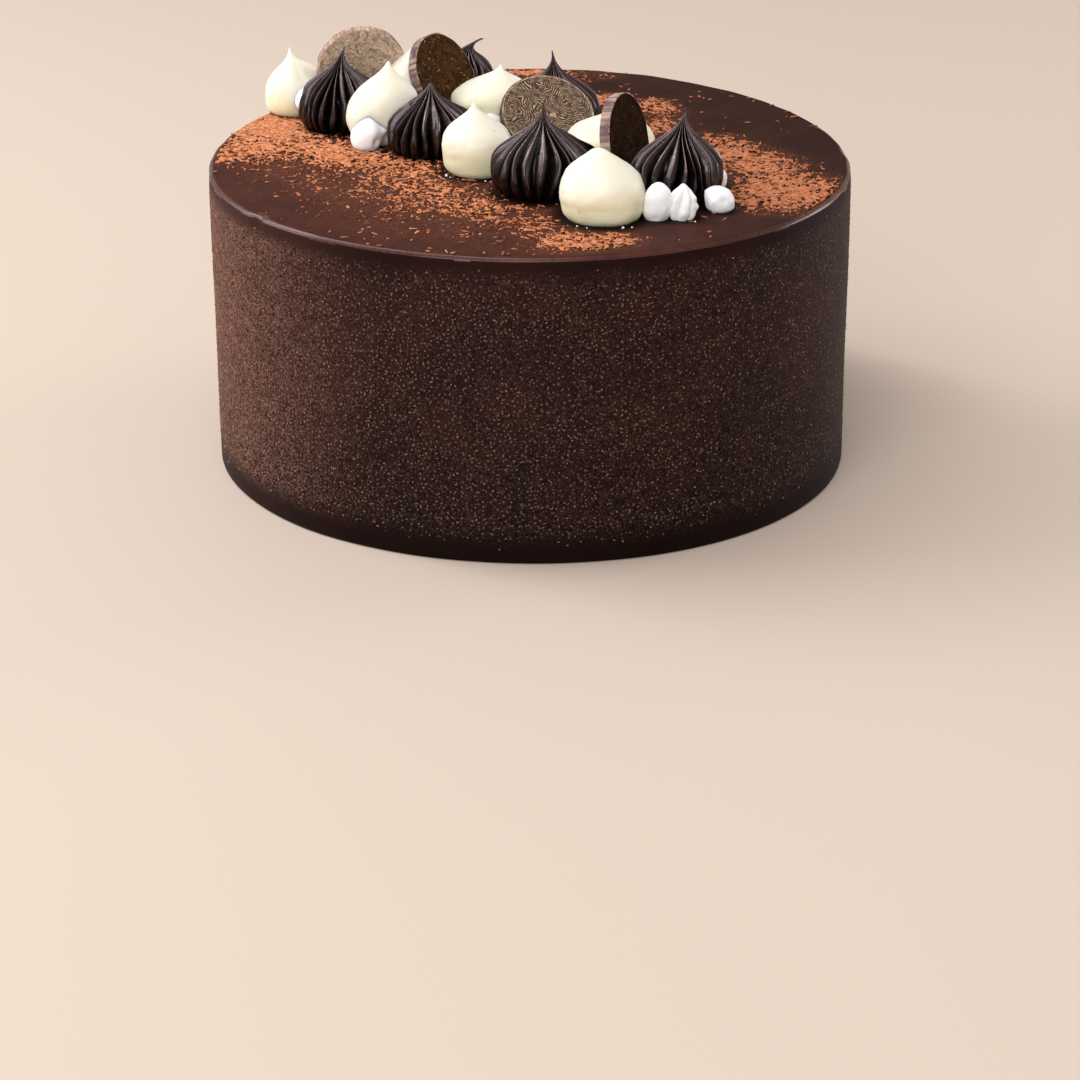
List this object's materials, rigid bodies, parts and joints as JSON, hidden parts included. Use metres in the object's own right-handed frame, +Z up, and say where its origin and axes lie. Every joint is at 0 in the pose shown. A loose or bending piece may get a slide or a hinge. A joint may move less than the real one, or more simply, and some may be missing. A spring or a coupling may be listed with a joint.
{
  "type": "chocolate custard cake",
  "caption": "Round cake coated in dark chocolate, its top crossed by a band of piped cream and ganache kisses, leaning chocolate coins and tiny meringues.",
  "frame": {"origin": "middle of the cake's box on the surface it stands on", "axes": "+Z up, -Y towards the side the picture shows, +X to that view's right"},
  "size_m": [0.198, 0.2022, 0.1221],
  "materials": {
    "coating": "dark chocolate coating, satin and softly mottled on top, fine velvety grain on the side",
    "cream": "smooth piped cream, warm ivory with a soft sheen",
    "ganache": "ridged piped dark ganache, near black with soft highlights",
    "coin": "dark chocolate flecked with gold on its faces, plain satin rim",
    "meringue": "dry white meringue, matt"
  },
  "bodies": {
    "root": {"cake": "coating", "cream_kiss_1": "cream", "cream_kiss_2": "cream", "cream_kiss_3": "cream", "cream_kiss_4": "cream", "cream_kiss_5": "cream", "cream_kiss_6": "cream", "cream_kiss_7": "cream", "ganache_kiss_1": "ganache", "ganache_kiss_2": "ganache", "ganache_kiss_3": "ganache", "ganache_kiss_4": "ganache", "ganache_kiss_5": "ganache", "ganache_kiss_6": "ganache", "chocolate_coin_1": "coin", "chocolate_coin_2": "coin", "chocolate_coin_3": "coin", "chocolate_coin_4": "coin", "mini_meringue_1": "meringue", "mini_meringue_2": "meringue", "mini_meringue_3": "meringue", "mini_meringue_4": "meringue", "mini_meringue_5": "meringue", "mini_meringue_6": "meringue", "mini_meringue_7": "meringue"}
  },
  "joints": []
}
